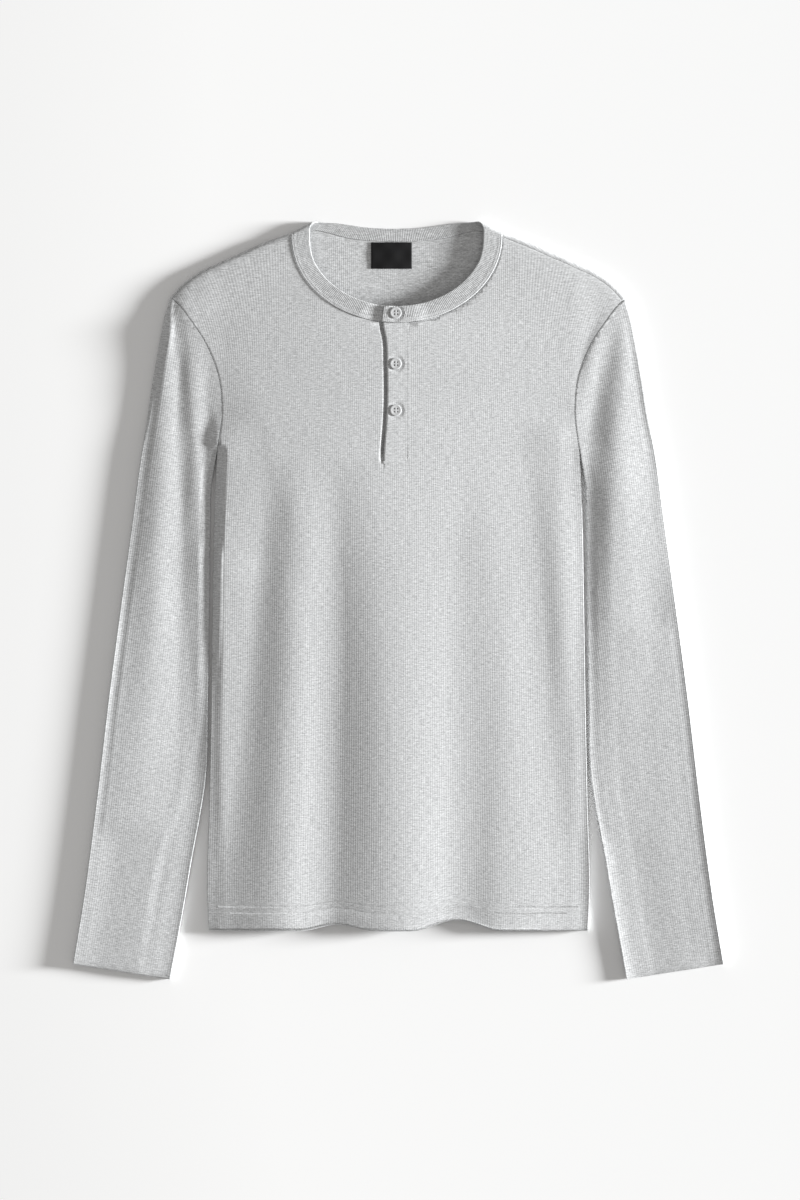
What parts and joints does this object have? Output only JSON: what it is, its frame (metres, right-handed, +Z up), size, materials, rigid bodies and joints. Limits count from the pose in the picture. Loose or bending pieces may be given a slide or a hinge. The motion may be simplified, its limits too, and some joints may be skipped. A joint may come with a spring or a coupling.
{
  "type": "long-sleeved henley shirt",
  "caption": "Rib-knit henley shirt laid flat on its back: round neckband, buttoned half placket, long set-in sleeves and a double-stitched hem.",
  "frame": {"origin": "centre of the shirt's outline on the surface it lies on, at the underside of the back", "axes": "+Z up from the surface, through the back and then the front; +Y from the hem to the neck; +X to the viewer's right, which is the wearer's left"},
  "size_m": [0.6514, 0.7569, 0.0234],
  "materials": {
    "rib_knit": "pale grey melange fine rib knit, matt",
    "rib_band": "pale grey melange fine rib knit, doubled, matt",
    "button_resin": "pale grey polyester resin, satin",
    "label_satin": "black woven satin, bare"
  },
  "bodies": {
    "root": {"front": "rib_knit", "back": "rib_knit", "sleeve_left": "rib_knit", "sleeve_right": "rib_knit", "neckband": "rib_band", "placket_top": "rib_band", "placket_under": "rib_band", "button_1": "button_resin", "button_2": "button_resin", "button_3": "button_resin", "neck_label": "label_satin"}
  },
  "joints": []
}
